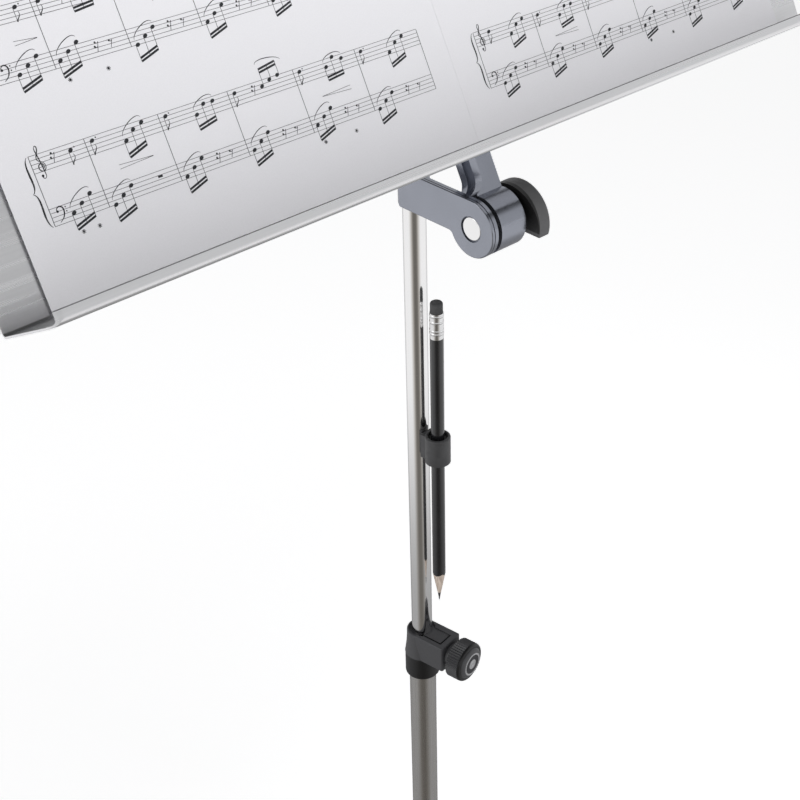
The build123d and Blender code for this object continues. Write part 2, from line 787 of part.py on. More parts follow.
nut_flats = 8.0
nut_height = 4.0
stud_radius = 2.5
stud_proud = 2.0             # of its nut
with BuildPart() as desk_studs:
    with BuildSketch(desk_plane.offset(desk_back)):
        with Locations(pad_middle):
            with GridLocations(stud_spacing_x, stud_spacing_up, 2, 2):
                Circle(stud_radius)
    extrude(amount=-(mount_thickness + nut_height + stud_proud))
write(desk_studs, "desk_studs")

with BuildPart() as desk_nuts:
    with BuildSketch(desk_plane.offset(arm_front)):
        with Locations(pad_middle):
            with GridLocations(stud_spacing_x, stud_spacing_up, 2, 2):
                RegularPolygon(nut_flats / 2, 6, major_radius=False)
                Circle(stud_radius, mode=Mode.SUBTRACT)
    extrude(amount=-nut_height)
write(desk_nuts, "desk_nuts")

# ------------------------------------------------------------------ desk knob
knob_washer_left = barrel_right + face_gap
knob_washer_radius = 8.6
with BuildPart() as knob_washer:
    with BuildSketch(across(knob_washer_left)):
        Circle(knob_washer_radius)
        Circle(bolt_radius + running_gap, mode=Mode.SUBTRACT)
    extrude(amount=knob_inner - face_gap - knob_washer_left)
write(knob_washer, "knob_washer")

wing_radius = 18.3
wing_centre = (-1.3, -2.7)
wing_flat = -7.3
insert_radius = 4.5
wing_rounding = 1.6
wing_boss_radius = 7.2
wing_boss_length = 6.0
wing_relief = 3.4            # the back is cut away towards the flat, up to this deep
with BuildPart() as wing_knob:
    with BuildSketch(across(knob_inner)):
        with Locations(wing_centre):
            Circle(wing_radius)
        with Locations((0, wing_flat - wing_radius)):
            Rectangle(4 * wing_radius, 2 * wing_radius, mode=Mode.SUBTRACT)
    extrude(amount=knob_outer - knob_inner)
    fillet(wing_knob.faces().sort_by(Axis.X)[-1].edges(), wing_rounding)
    with BuildSketch(Plane(origin=(0, pivot_y, pivot_z), x_dir=(1, 0, 0), z_dir=(0, -1, 0))):
        with BuildLine():
            Polyline(
                (knob_inner, 17),
                (knob_inner, -12),
                (knob_inner + wing_relief, -12),
                close=True,
            )
        make_face()
    extrude(amount=2 * wing_radius, both=True, mode=Mode.SUBTRACT)
    with BuildSketch(across(knob_inner)):
        Circle(wing_boss_radius)
    extrude(amount=wing_boss_length)
    with BuildSketch(across(knob_inner)):
        Circle(insert_radius)
    extrude(amount=insert_end - knob_inner, mode=Mode.SUBTRACT)
write(wing_knob, "wing_knob")

with BuildPart() as wing_insert:
    with BuildSketch(across(knob_inner)):
        Circle(insert_radius)
        Circle(bolt_radius + running_gap, mode=Mode.SUBTRACT)
    extrude(amount=insert_end - knob_inner)
write(wing_insert, "wing_insert")

# ------------------------------------------------------------------ sheet music
page_width = 229.0
page_height = 305.0
page_stack = 1.2
page_gap = 0.4
page_behind = 0.3            # from the desk's face to the back of the booklet
page_bottom = shelf_bottom + sheet + 1.1   # clear of the bend where the shelf begins
for side, name in ((-1, "music_pages_left"), (1, "music_pages_right")):
    with BuildPart() as pages:
        with BuildSketch(desk_plane.offset(desk_face + page_behind)):
            page_x = desk_centre + side * (page_width + page_gap) / 2
            with Locations((page_x, page_bottom + page_height / 2)):
                Rectangle(page_width, page_height)
        extrude(amount=page_stack)
    write(pages, name)

# ------------------------------------------------------------------ pencil and its holder
pencil_turn = 3.1            # the holder sits a little to the player's right of straight ahead
pencil_offset = 14.6
pencil_tip_z = 630.0
pencil_top_z = 827.0
pencil_radius = 3.67
cone_height = 20.3
lead_length = 6.0
lead_radius = 1.0
ferrule_length = 14.9
eraser_proud = 6.0
eraser_rounding = 1.2
holder_bottom_z = 728.3
holder_top_z = 744.8
holder_radius = 7.0
holder_bore = pencil_radius + 0.06
magnet_half = 4.0
magnet_near = upper_radius + 0.3
magnet_far = magnet_near + 2.4
magnet_rim = 2.0             # holder left above and below the magnet
web_margin = 1.0             # holder left each side of the magnet
web_bottom = holder_bottom_z + 1.2
web_top = holder_top_z - 0.6
mouth_radius = 5.6           # the ring opens out round the pencil at its top
mouth_depth = 2.5
pencil_spot = (0, -pencil_offset)
cone_top_z = pencil_tip_z + cone_height
wood_tip_z = pencil_tip_z + lead_length
wood_tip_radius = pencil_radius * lead_length / cone_height
ferrule_bottom_z = pencil_top_z - eraser_proud - ferrule_length
ferrule_top_z = pencil_top_z - eraser_proud
tenon_radius = pencil_radius - 0.3
tenon_length = 7.0
tenon_top_z = ferrule_bottom_z + tenon_length
bead_height = 0.22           # the ferrule's pressed rings
bead_half = 0.7
bead_rises = (3.0, 4.8, 9.8, 13.4)
pencil_plane = Plane(origin=(0, 0, 0)).rotated((0, 0, pencil_turn))
pencil_axis = Plane(
    origin=pencil_plane.from_local_coords((0, -pencil_offset, 0)),
    x_dir=pencil_plane.x_dir,
    z_dir=-pencil_plane.y_dir,
)

with BuildPart() as pencil_body:
    with BuildSketch(pencil_axis):
        with BuildLine():
            Polyline(
                (lead_radius, wood_tip_z),
                (wood_tip_radius, wood_tip_z),
                (pencil_radius, cone_top_z),
                (pencil_radius, ferrule_bottom_z),
                (tenon_radius, ferrule_bottom_z),
                (tenon_radius, tenon_top_z),
                (lead_radius, tenon_top_z),
                close=True,
            )
        make_face()
    revolve(axis=Axis(pencil_axis.origin, (0, 0, 1)))
write(pencil_body, "pencil_body")

with BuildPart() as pencil_lead:
    with BuildSketch(pencil_axis):
        with BuildLine():
            Polyline(
                (0, pencil_tip_z + 0.6),
                (0.15, pencil_tip_z),
                (lead_radius, wood_tip_z),
                (lead_radius, tenon_top_z),
                (0, tenon_top_z),
                close=True,
            )
        make_face()
    revolve(axis=Axis(pencil_axis.origin, (0, 0, 1)))
write(pencil_lead, "pencil_lead")

with BuildPart() as pencil_ferrule:
    with BuildSketch(pencil_plane.offset(ferrule_bottom_z)):
        with Locations(pencil_spot):
            Circle(pencil_radius)
            Circle(tenon_radius, mode=Mode.SUBTRACT)
    extrude(amount=ferrule_length)
    for rise in bead_rises:
        bead_z = ferrule_bottom_z + rise
        with BuildSketch(pencil_axis):
            with BuildLine():
                Polyline(
                    (pencil_radius - 0.1, bead_z + bead_half),
                    (pencil_radius - 0.1, bead_z - bead_half),
                    (pencil_radius, bead_z - bead_half),
                )
                ThreePointArc(
                    (pencil_radius, bead_z - bead_half),
                    (pencil_radius + bead_height, bead_z),
                    (pencil_radius, bead_z + bead_half),
                )
                Line((pencil_radius, bead_z + bead_half), (pencil_radius - 0.1, bead_z + bead_half))
            make_face()
        revolve(axis=Axis(pencil_axis.origin, (0, 0, 1)))
write(pencil_ferrule, "pencil_ferrule")

with BuildPart() as pencil_eraser:
    with BuildSketch(pencil_plane.offset(tenon_top_z)):
        with Locations(pencil_spot):
            Circle(tenon_radius)
    extrude(amount=pencil_top_z - tenon_top_z)
    fillet(pencil_eraser.edges().sort_by(Axis.Z)[-1], eraser_rounding)
write(pencil_eraser, "pencil_eraser")

with BuildPart() as pencil_holder:
    with BuildSketch(pencil_plane.offset(holder_bottom_z)):
        with Locations(pencil_spot):
            Circle(holder_radius)
    extrude(amount=holder_top_z - holder_bottom_z)
    fillet(pencil_holder.edges().group_by(Axis.Z)[-1], soft_edge)
    with BuildSketch(pencil_plane.offset(web_bottom)):
        with Locations((0, -(magnet_near + pencil_offset) / 2)):
            Rectangle(2 * (magnet_half + web_margin), pencil_offset - magnet_near)
        Circle(magnet_near, mode=Mode.SUBTRACT)
    extrude(amount=web_top - web_bottom)
    with BuildSketch(pencil_plane.offset(holder_bottom_z)):
        with Locations(pencil_spot):
            Circle(holder_bore)
    extrude(amount=holder_top_z - holder_bottom_z, mode=Mode.SUBTRACT)
    with BuildSketch(pencil_plane.offset(holder_top_z - mouth_depth)):
        with Locations(pencil_spot):
            Circle(mouth_radius)
    extrude(amount=mouth_depth, mode=Mode.SUBTRACT)
    with BuildSketch(pencil_plane.offset(holder_bottom_z + magnet_rim)):
        with Locations((0, -(magnet_near + magnet_far) / 2)):
            Rectangle(2 * magnet_half, magnet_far - magnet_near)
    extrude(amount=holder_top_z - holder_bottom_z - 2 * magnet_rim, mode=Mode.SUBTRACT)
write(pencil_holder, "pencil_holder")

with BuildPart() as holder_magnet:
    with BuildSketch(pencil_plane.offset(holder_bottom_z + magnet_rim)):
        with Locations((0, -(magnet_near + magnet_far) / 2)):
            Rectangle(2 * magnet_half, magnet_far - magnet_near)
    extrude(amount=holder_top_z - holder_bottom_z - 2 * magnet_rim)
write(holder_magnet, "holder_magnet")
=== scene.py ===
import json
from math import atan2, cos, pi, radians, sin, sqrt

import bpy
from mathutils import Euler, Matrix, Vector


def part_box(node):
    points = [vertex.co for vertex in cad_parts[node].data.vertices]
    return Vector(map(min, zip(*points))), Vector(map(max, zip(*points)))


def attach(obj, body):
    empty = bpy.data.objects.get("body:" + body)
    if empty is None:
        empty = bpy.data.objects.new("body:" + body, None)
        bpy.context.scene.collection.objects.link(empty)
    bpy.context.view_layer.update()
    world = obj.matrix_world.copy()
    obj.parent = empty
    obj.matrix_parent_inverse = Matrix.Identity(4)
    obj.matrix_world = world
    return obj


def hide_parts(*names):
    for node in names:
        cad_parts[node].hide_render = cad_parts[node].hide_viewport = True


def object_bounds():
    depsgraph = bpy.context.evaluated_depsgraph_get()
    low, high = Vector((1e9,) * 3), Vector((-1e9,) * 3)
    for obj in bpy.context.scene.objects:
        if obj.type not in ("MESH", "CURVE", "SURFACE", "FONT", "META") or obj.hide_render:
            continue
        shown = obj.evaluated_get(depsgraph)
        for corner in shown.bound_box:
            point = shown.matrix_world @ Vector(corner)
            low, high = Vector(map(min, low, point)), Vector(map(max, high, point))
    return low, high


# Looks of the music stand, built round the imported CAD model. Lengths are metres, except in
# the printed notation, which works in millimetres. +Z is up and the player stands at -Y.

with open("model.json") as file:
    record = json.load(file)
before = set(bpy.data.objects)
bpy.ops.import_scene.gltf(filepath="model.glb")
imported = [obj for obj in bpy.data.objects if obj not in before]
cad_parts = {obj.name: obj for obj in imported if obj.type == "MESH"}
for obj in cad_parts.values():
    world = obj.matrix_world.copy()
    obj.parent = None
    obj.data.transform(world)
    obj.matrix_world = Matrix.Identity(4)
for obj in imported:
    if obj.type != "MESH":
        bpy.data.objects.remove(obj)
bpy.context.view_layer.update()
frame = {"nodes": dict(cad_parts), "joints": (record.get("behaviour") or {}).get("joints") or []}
nodes = frame["nodes"]
mm = 0.001


# ------------------------------------------------------------------ camera
camera_data = bpy.data.cameras.new("camera")
camera_data.sensor_width = 36.0
camera_data.lens = 68.6
camera_data.clip_end = 50.0
camera = bpy.data.objects.new("camera", camera_data)
bpy.context.scene.collection.objects.link(camera)
camera_place = Vector((-0.4605, -0.5107, 1.2065))
camera_heading = radians(-41.245)
camera_below_level = radians(32.92)
camera_roll = radians(-1.51)
look = Euler((pi / 2 - camera_below_level, 0.0, camera_heading)).to_matrix()
look = look @ Matrix.Rotation(camera_roll, 3, "Z")
camera.matrix_world = Matrix.Translation(camera_place) @ look.to_4x4()
bpy.context.scene.camera = camera


# ------------------------------------------------------------------ node helpers
def set_ramp(node, start, end, low, high):
    """Set a Map Range node to take start..end to low..high."""
    for socket, value in (("From Min", start), ("From Max", end), ("To Min", low), ("To Max", high)):
        node.inputs[socket].default_value = value


def math_node(tree, operation, a, b=0.0):
    """A Math node in a tree, on two numbers or other nodes' outputs."""
    node = tree.nodes.new("ShaderNodeMath")
    node.operation = operation
    for socket, value in zip(node.inputs, (a, b)):
        if isinstance(value, (int, float)):
            socket.default_value = value
        else:
            tree.links.new(value, socket)
    return node.outputs[0]


class Surface:
    """A node material over the object's own coordinates, with small helpers to detail it."""

    def __init__(self, name, color, metallic=0.0, roughness=0.5, **sockets):
        self.material = bpy.data.materials.new(name)
        self.material.use_nodes = True
        tree = self.material.node_tree
        self.nodes, self.links = tree.nodes, tree.links
        self.shader = self.nodes["Principled BSDF"]
        self.color = color
        self.roughness = roughness
        self.set("Base Color", (*color, 1.0))
        self.set("Metallic", metallic)
        self.set("Roughness", roughness)
        for socket, value in sockets.items():
            self.set(socket.replace("_", " "), value)
        self.place = self.nodes.new("ShaderNodeTexCoord").outputs["Object"]
        self.bumps = None

    def set(self, socket, value):
        self.shader.inputs[socket].default_value = value

    def link(self, output, socket):
        self.links.new(output, self.shader.inputs[socket])

    def noise(self, scale, stretch=(1.0, 1.0, 1.0), detail=3.0, roughness=0.5):
        """A noise pattern. A stretch below 1 along an axis draws it out into streaks."""
        mapping = self.nodes.new("ShaderNodeMapping")
        mapping.inputs["Scale"].default_value = stretch
        self.links.new(self.place, mapping.inputs["Vector"])
        noise = self.nodes.new("ShaderNodeTexNoise")
        noise.inputs["Scale"].default_value = scale
        noise.inputs["Detail"].default_value = detail
        noise.inputs["Roughness"].default_value = roughness
        self.links.new(mapping.outputs["Vector"], noise.inputs["Vector"])
        return noise.outputs["Fac"]

    def math(self, operation, a, b=0.0):
        return math_node(self.material.node_tree, operation, a, b)

    def spread(self, pattern, low, high, start=0.3, end=0.7):
        """The pattern mapped from start..end to low..high."""
        node = self.nodes.new("ShaderNodeMapRange")
        set_ramp(node, start, end, low, high)
        self.links.new(pattern, node.inputs["Value"])
        return node.outputs["Result"]

    def mix(self, factor, first, second):
        """A colour between two colours, each a triple or another node's output."""
        node = self.nodes.new("ShaderNodeMix")
        node.data_type = "RGBA"
        self.links.new(factor, node.inputs[0])
        for socket, value in ((node.inputs[6], first), (node.inputs[7], second)):
            if isinstance(value, tuple):
                socket.default_value = (*value, 1.0)
            else:
                self.links.new(value, socket)
        return node.outputs[2]

    def tint(self, pattern, amount):
        """Vary the base colour by a share either way."""
        dark = tuple(c * (1.0 - amount) for c in self.color)
        light = tuple(min(1.0, c * (1.0 + amount)) for c in self.color)
        self.link(self.mix(self.spread(pattern, 0.0, 1.0), dark, light), "Base Color")

    def gloss(self, pattern, amount):
        """Vary the roughness by an amount either way."""
        self.link(self.spread(pattern, self.roughness - amount, self.roughness + amount), "Roughness")

    def bump(self, pattern, depth, strength=1.0):
        """Add a relief of that depth in metres; later reliefs lie over the earlier ones."""
        node = self.nodes.new("ShaderNodeBump")
        node.inputs["Strength"].default_value = strength
        node.inputs["Distance"].default_value = depth
        self.links.new(pattern, node.inputs["Height"])
        if self.bumps:
            self.links.new(self.bumps, node.inputs["Normal"])
        self.bumps = node.outputs["Normal"]
        self.link(self.bumps, "Normal")

    def axes(self):
        """The object's X, Y and Z as three outputs."""
        node = self.nodes.new("ShaderNodeSeparateXYZ")
        self.links.new(self.place, node.inputs[0])
        return node.outputs[0], node.outputs[1], node.outputs[2]

    def distance(self, point):
        """The distance from a fixed point."""
        node = self.nodes.new("ShaderNodeVectorMath")
        node.operation = "DISTANCE"
        node.inputs[1].default_value = point
        self.links.new(self.place, node.inputs[0])
        return node.outputs["Value"]


# ------------------------------------------------------------------ directions on the desk
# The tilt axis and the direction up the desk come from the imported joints.
tilt_joint = next(joint for joint in frame["joints"] if joint["name"] == "desk_tilt")
pivot = Vector(tilt_joint["pos_m"])
lift_joint = next(joint for joint in frame["joints"] if joint["name"] == "music_lift")
page_up = Vector(lift_joint["axis"]).normalized()
page_out = Vector((1.0, 0.0, 0.0)).cross(page_up)   # towards the player
left_low, left_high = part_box("music_pages_left")
right_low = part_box("music_pages_right")[0]
gutter = (left_high.x + right_low.x) / 2
page_width = left_high.x - left_low.x


def desk_share(corner):
    """A point's distances up the desk and out from it, measured from the tilt axis."""
    offset = corner - pivot
    return offset.dot(page_up), offset.dot(page_out)


page_points = [desk_share(Vector(v.co)) for v in nodes["music_pages_left"].data.vertices]
page_bottom = min(up for up, out in page_points)
page_top = max(up for up, out in page_points)
page_back = min(out for up, out in page_points)
page_front = max(out for up, out in page_points)

# The desk's shelf ends in a turned-up lip
desk_points = [desk_share(Vector(v.co)) for v in nodes["desk"].data.vertices]
lip_front = max(out for up, out in desk_points)
lip_top = max(up for up, out in desk_points if out > lip_front - 0.5 * mm)
lip_zone = 2.0 * mm          # the lip lies within this of its front
lip_shade_depth = 0.4 * mm         # the depth of the painted shade line along the lip's top


# ------------------------------------------------------------------ materials
badge_middle = (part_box("knob_badge")[0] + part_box("knob_badge")[1]) / 2


def polished_chrome():
    s = Surface("polished_chrome", (0.93, 0.925, 0.92), metallic=1.0, roughness=0.12)
    s.gloss(s.noise(900.0, (1.0, 1.0, 0.02), detail=4.0), 0.03)
    s.tint(s.noise(14.0), 0.015)
    s.bump(s.noise(260.0, (1.0, 1.0, 0.05)), 0.000004)
    return s.material


def satin_nickel(name="satin_nickel", stretch=(1.0, 1.0, 0.012)):
    s = Surface(name, (0.60, 0.585, 0.565), metallic=1.0, roughness=0.24)
    s.tint(s.noise(1400.0, stretch, detail=5.0), 0.07)
    s.gloss(s.noise(800.0, stretch, detail=3.0), 0.05)
    s.bump(s.noise(1600.0, stretch, detail=4.0), 0.000006)
    return s.material


def zinc_plate():
    s = Surface("zinc_plate", (0.66, 0.67, 0.69), metallic=1.0, roughness=0.30)
    s.tint(s.noise(500.0, detail=4.0), 0.08)
    s.gloss(s.noise(240.0), 0.07)
    s.bump(s.noise(1500.0), 0.00001)
    return s.material


def gunmetal():
    s = Surface("gunmetal", (0.30, 0.315, 0.36), metallic=0.9, roughness=0.20)
    s.set("Coat Weight", 0.25)
    s.set("Coat Roughness", 0.12)
    s.tint(s.noise(60.0, detail=4.0), 0.04)
    s.gloss(s.noise(320.0, detail=4.0), 0.04)
    s.bump(s.noise(700.0, detail=2.0), 0.000012, 0.7)
    return s.material


def desk_metal():
    """Brushed along the desk's width, with a dark line of painted shade along the lip's top."""
    s = Surface("desk_metal", (0.80, 0.80, 0.805), metallic=1.0, roughness=0.30)
    grain = (0.01, 1.0, 1.0)
    streaks = s.noise(1100.0, grain, detail=5.0)
    brushed = s.mix(s.spread(streaks, 0.0, 1.0), (0.785, 0.785, 0.79), (0.815, 0.815, 0.82))
    y, z = s.axes()[1:]
    forward, lift = s.math("SUBTRACT", y, pivot.y), s.math("SUBTRACT", z, pivot.z)
    out, up = (
        s.math("ADD", s.math("MULTIPLY", forward, way.y), s.math("MULTIPLY", lift, way.z))
        for way in (page_out, page_up)
    )
    on_lip = s.math("GREATER_THAN", out, lip_front - lip_zone)
    above = s.math("GREATER_THAN", up, lip_top - lip_shade_depth)
    below = s.math("LESS_THAN", up, lip_top + mm)
    painted_shade_band = s.math("MULTIPLY", above, below)
    # Painted shade: a dark line along the lip's top edge, in place of the shadow there.
    s.link(s.mix(s.math("MULTIPLY", on_lip, painted_shade_band), brushed, (0.22, 0.22, 0.225)), "Base Color")
    s.gloss(s.noise(700.0, grain), 0.05)
    s.bump(s.noise(1500.0, grain, detail=4.0), 0.000003)
    return s.material


def moulded_plastic():
    s = Surface("moulded_plastic", (0.048, 0.048, 0.051), roughness=0.42)
    s.tint(s.noise(30.0), 0.10)
    s.gloss(s.noise(900.0, detail=2.0), 0.06)
    s.bump(s.noise(1600.0, detail=3.0), 0.00003, 0.8)
    return s.material


def clamp_plastic():
    """The clamp's moulding, with its lower collar finished blacker."""
    s = Surface("clamp_plastic", (0.052, 0.052, 0.056), roughness=0.42)
    collar_height = 15.8 * mm
    collar = s.math("LESS_THAN", s.axes()[2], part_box("clamp_housing")[0].z + collar_height)
    s.link(s.mix(collar, (0.052, 0.052, 0.056), (0.004, 0.004, 0.0045)), "Base Color")
    s.gloss(s.noise(900.0, detail=2.0), 0.06)
    s.bump(s.noise(1600.0, detail=3.0), 0.00003, 0.8)
    return s.material


def cap_plastic():
    """The knob's cap: a matte dome inside a shoulder painted near-black as its shade."""
    s = Surface("cap_plastic", (0.055, 0.055, 0.058), roughness=0.42)
    dome_radius = 9.75 * mm
    # Painted shade: the shoulder round the dome is near-black.
    shaded_shoulder = s.math("GREATER_THAN", s.distance(badge_middle), dome_radius)
    s.link(s.mix(shaded_shoulder, (0.055, 0.055, 0.058), (0.004, 0.004, 0.004)), "Base Color")
    s.gloss(s.noise(900.0, detail=2.0), 0.06)
    s.bump(s.noise(1600.0, detail=3.0), 0.00002, 0.8)
    return s.material


def wing_plastic():
    """The wing knob's moulding, with painted shade on the face towards the barrel."""
    s = Surface("wing_plastic", (0.085, 0.085, 0.087), roughness=0.50)
    shade_band_depth = 2.6 * mm
    # Painted shade: the band next to the barrel is near-black, like AO.
    barrel_side_shade = s.math("LESS_THAN", s.axes()[0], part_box("wing_knob")[0].x + shade_band_depth)
    s.link(s.mix(barrel_side_shade, (0.085, 0.085, 0.087), (0.006, 0.006, 0.006)), "Base Color")
    s.gloss(s.noise(900.0, detail=2.0), 0.06)
    s.bump(s.noise(1500.0, detail=3.0), 0.00004, 0.8)
    return s.material


def nylon():
    s = Surface("nylon", (0.014, 0.014, 0.015), roughness=0.36)
    s.tint(s.noise(90.0), 0.12)
    s.gloss(s.noise(600.0), 0.05)
    s.bump(s.noise(1200.0), 0.000012)
    return s.material


def rubber(name, color, roughness):
    s = Surface(name, color, roughness=roughness)
    s.tint(s.noise(160.0, detail=5.0), 0.22)
    s.gloss(s.noise(420.0), 0.06)
    s.bump(s.noise(1900.0, detail=4.0), 0.00006)
    return s.material


def turned_disc():
    """A disc turned on a lathe: fine rings about the knob's axis, and a dark ring of painted shade
    where a groove would lie.
    """
    s = Surface("turned_disc", (0.70, 0.70, 0.71), metallic=1.0, roughness=0.22)
    ring_pitch = 0.45 * mm
    shade_ring_radius, shade_ring_half = 4.6 * mm, 1.5 * mm
    radius = s.distance(badge_middle)
    rings = s.math("SINE", s.math("MULTIPLY", radius, 2 * pi / ring_pitch))
    s.bump(rings, 0.000012)
    # Painted shade: a dark ring in the base colour, with no groove in the geometry.
    from_shade_ring = s.math("ABSOLUTE", s.math("SUBTRACT", radius, shade_ring_radius))
    shade_ring = s.math("LESS_THAN", from_shade_ring, shade_ring_half)
    s.link(s.mix(shade_ring, (0.70, 0.70, 0.71), (0.07, 0.07, 0.075)), "Base Color")
    s.gloss(s.noise(700.0), 0.05)
    return s.material


def brass():
    s = Surface("brass", (0.72, 0.50, 0.22), metallic=1.0, roughness=0.27)
    s.tint(s.noise(200.0), 0.08)
    s.gloss(s.noise(500.0), 0.06)
    s.bump(s.noise(1500.0), 0.000008)
    return s.material


def magnet_plate():
    s = Surface("magnet_plate", (0.16, 0.16, 0.17), metallic=1.0, roughness=0.32)
    s.tint(s.noise(300.0), 0.12)
    s.gloss(s.noise(500.0), 0.08)
    s.bump(s.noise(900.0), 0.00001)
    return s.material


def graphite():
    s = Surface("graphite", (0.075, 0.075, 0.08), metallic=0.4, roughness=0.38)
    s.tint(s.noise(1500.0, (1.0, 1.0, 0.1)), 0.3)
    s.gloss(s.noise(900.0), 0.08)
    s.bump(s.noise(2600.0, (1.0, 1.0, 0.15)), 0.00002)
    return s.material


def ferrule_metal():
    s = Surface("ferrule_metal", (0.80, 0.80, 0.80), metallic=1.0, roughness=0.16)
    s.tint(s.noise(500.0), 0.06)
    s.gloss(s.noise(700.0), 0.05)
    s.bump(s.noise(900.0, detail=1.0), 0.00004)
    return s.material


def pencil_finish():
    """Black lacquer down to the sharpened cone, where the bare wood shows its grain."""
    s = Surface("pencil_finish", (0.010, 0.010, 0.011), roughness=0.16)
    s.set("Coat Weight", 0.5)
    s.set("Coat Roughness", 0.08)
    cone_height = 14.3 * mm
    # The sharpener leaves a slightly uneven edge round the lacquer
    edge = s.spread(s.noise(420.0, (1.0, 1.0, 0.2)), -0.7 * mm, 0.7 * mm)
    cone_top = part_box("pencil_body")[0].z + cone_height
    bare = s.math("LESS_THAN", s.math("ADD", s.axes()[2], edge), cone_top)
    streaks = s.noise(1500.0, (1.0, 1.0, 0.05), detail=5.0)
    wood = s.mix(s.spread(streaks, 0.0, 1.0, 0.35, 0.65), (0.42, 0.33, 0.27), (0.66, 0.56, 0.48))
    lacquer = s.mix(s.spread(s.noise(40.0), 0.0, 1.0), (0.008, 0.008, 0.009), (0.014, 0.014, 0.016))
    s.link(s.mix(bare, lacquer, wood), "Base Color")
    dull = s.math("MULTIPLY", bare, 0.5)
    s.link(s.math("ADD", dull, s.spread(s.noise(300.0), 0.12, 0.22)), "Roughness")
    s.bump(s.math("MULTIPLY", streaks, bare), 0.00005)
    s.bump(s.noise(120.0), 0.00002)
    return s.material


def paper():
    """Uncoated music paper: faint fibres and a little unevenness."""
    s = Surface("paper", (0.80, 0.795, 0.82), roughness=0.72)
    s.set("Specular IOR Level", 0.25)
    s.tint(s.noise(1900.0, detail=5.0), 0.018)
    s.bump(s.noise(2400.0, detail=4.0), 0.00002, 0.6)
    s.bump(s.noise(9.0, detail=1.0), 0.0006, 0.35)
    return s.material


def ink():
    s = Surface("ink", (0.022, 0.022, 0.026), roughness=0.55)
    s.tint(s.noise(1500.0), 0.3)
    s.gloss(s.noise(900.0), 0.08)
    return s.material


def paint(material, *names):
    """Give these CAD nodes a material in every slot."""
    for name in names:
        data = nodes[name].data
        if not data.materials:
            data.materials.append(material)
        for index in range(len(data.materials)):
            data.materials[index] = material


chrome = polished_chrome()
nickel = satin_nickel()
leg_nickel = satin_nickel("leg_nickel", (0.35, 0.35, 0.35))
zinc = zinc_plate()
plastic = moulded_plastic()
sleek_plastic = nylon()
casting = gunmetal()

paint(chrome, "upper_tube", "pivot_bolt")
paint(nickel, "lower_tube")
paint(leg_nickel, "leg_1", "leg_2", "leg_3", "strut_1", "strut_2", "strut_3")
paint(zinc, "strut_pins", "leg_pins", "strut_rivets_1", "strut_rivets_2", "strut_rivets_3")
paint(zinc, "runner_screw", "clamp_screw", "desk_studs", "desk_nuts", "bracket_screw")
paint(casting, "tilt_bracket", "desk_arm")
paint(desk_metal(), "desk")
paint(plastic, "clamp_knob", "brake_block")
paint(clamp_plastic(), "clamp_housing")
paint(cap_plastic(), "clamp_knob_cap")
paint(wing_plastic(), "wing_knob")
paint(plastic, "runner", "runner_knob", "strut_hub", "tube_plug", "guide_bush")
paint(sleek_plastic, "friction_washer", "knob_washer", "runner_pad")
paint(turned_disc(), "knob_badge")
paint(brass(), "wing_insert")
paint(rubber("foot_rubber", (0.030, 0.030, 0.031), 0.62), "foot_1", "foot_2", "foot_3")
paint(rubber("holder_rubber", (0.045, 0.045, 0.047), 0.42), "pencil_holder")
paint(rubber("eraser_rubber", (0.060, 0.060, 0.062), 0.68), "pencil_eraser")
paint(magnet_plate(), "holder_magnet")
paint(graphite(), "pencil_lead")
paint(ferrule_metal(), "pencil_ferrule")
paint(pencil_finish(), "pencil_body")


# ------------------------------------------------------------------ the booklet
def paper_lift(x, u):
    """How far the paper stands off its flat place, at x across and u up the desk.

    It dips into the gutter and curls at its outer and upper edges.
    """
    from_gutter = abs(x - gutter)
    dip = -0.2 * mm * max(0.0, 1.0 - from_gutter / (14 * mm)) ** 2
    side = from_gutter / page_width
    height = (u - page_bottom) / (page_top - page_bottom)
    curl = 3.5 * mm * max(0.0, side - 0.55) ** 2 * (0.2 + height)
    curl += 2.5 * mm * max(0.0, height - 0.7) ** 2
    belly = 0.35 * mm * sin(pi * min(1.0, side * 1.1)) * height
    return dip + curl + belly


def on_page(x, u, proud=0.0):
    """The place in the model of a point x across and u up the desk, proud of the paper."""
    out = page_front + paper_lift(x, u) + proud
    return Vector((x, pivot.y, pivot.z)) + page_up * u + page_out * out


def new_piece(name, points, faces, material, body):
    """A mesh piece that rides on a body."""
    mesh = bpy.data.meshes.new(name)
    mesh.from_pydata([tuple(p) for p in points], [], faces)
    mesh.materials.append(material)
    mesh.update()
    piece = bpy.data.objects.new(name, mesh)
    bpy.context.scene.collection.objects.link(piece)
    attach(piece, body)
    return piece


leaf_count = 6
leaf_thickness = 0.13 * mm


def leaf_block(side, leaf):
    """Points and faces of one leaf, a thin closed slab.

    Each leaf towards the desk is a little narrower than the one before it.
    """
    columns, rows = 36, 26
    inset = 0.35 * mm * leaf
    step_back = (page_front - page_back) / leaf_count * leaf
    points, faces = [], []
    for layer in (0.0, leaf_thickness):
        for row in range(rows + 1):
            for column in range(columns + 1):
                share = column / columns
                across = (share ** 1.6) * (page_width - inset)
                x = gutter + side * (0.03 * mm + across)
                u = page_bottom + row / rows * (page_top - page_bottom - inset * 0.6)
                settle = -0.6 * leaf / leaf_count * paper_lift(x, u)
                points.append(on_page(x, u, settle - step_back - layer))
    width = columns + 1
    size = width * (rows + 1)
    for row in range(rows):
        for column in range(columns):
            a = row * width + column
            quad = (a, a + 1, a + 1 + width, a + width)
            faces.append(quad if side > 0 else quad[::-1])
            faces.append(tuple(i + size for i in (quad[::-1] if side > 0 else quad)))
    rim = list(range(columns))
    rim += [columns + row * width for row in range(rows)]
    rim += [rows * width + columns - column for column in range(columns)]
    rim += [(rows - row) * width for row in range(rows)]
    for a, b in zip(rim, rim[1:] + rim[:1]):
        wall = (a, a + size, b + size, b)
        faces.append(wall if side > 0 else wall[::-1])
    return points, faces


